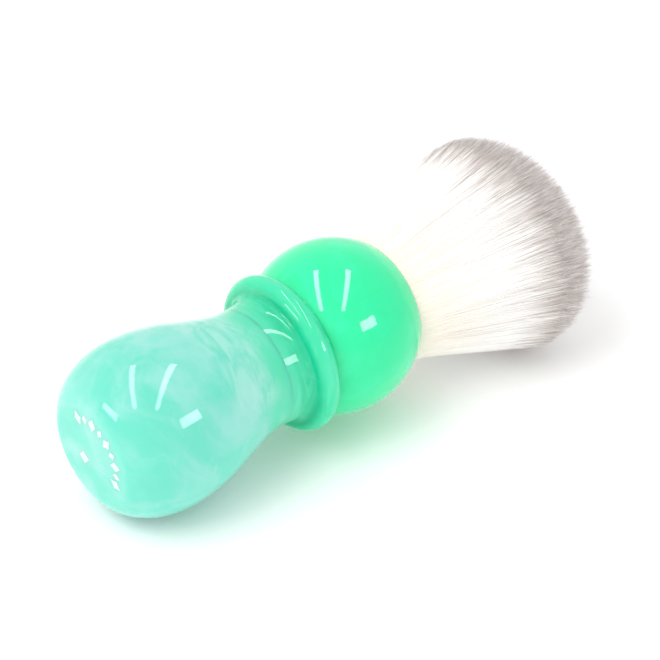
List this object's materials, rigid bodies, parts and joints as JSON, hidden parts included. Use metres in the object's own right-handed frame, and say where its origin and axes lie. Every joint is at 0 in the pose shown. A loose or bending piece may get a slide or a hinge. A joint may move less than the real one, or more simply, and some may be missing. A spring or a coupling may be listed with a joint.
{
  "type": "shaving brush",
  "caption": "Standing shaving brush: turned translucent resin grip, rounded collar, opaque resin ball and a soft domed fibre knot.",
  "frame": {"origin": "middle of the foot's flat face, on the brush's axis", "axes": "+Z along the brush's axis, from the foot to the tip of the knot; +X and +Y lie in the foot's face"},
  "size_m": [0.043, 0.043, 0.1112],
  "materials": {
    "pearl_resin": "polished translucent aqua resin with milky pearl swirls",
    "clear_resin": "polished translucent green resin",
    "mint_resin": "polished opaque mint green resin",
    "fibre": "fine white synthetic fibres with grey-brown tips",
    "thread": "waxed binding thread",
    "knot_resin": "hard amber epoxy",
    "adhesive": "clear epoxy film",
    "white_paint": "white paint fill"
  },
  "bodies": {
    "root": {"grip": "pearl_resin", "collar": "clear_resin", "ball": "mint_resin", "knot_fibres": "fibre", "binding_thread": "thread", "knot_plug": "knot_resin", "knot_glue": "adhesive", "tenon_glue": "adhesive", "foot_mark": "white_paint"}
  },
  "joints": []
}
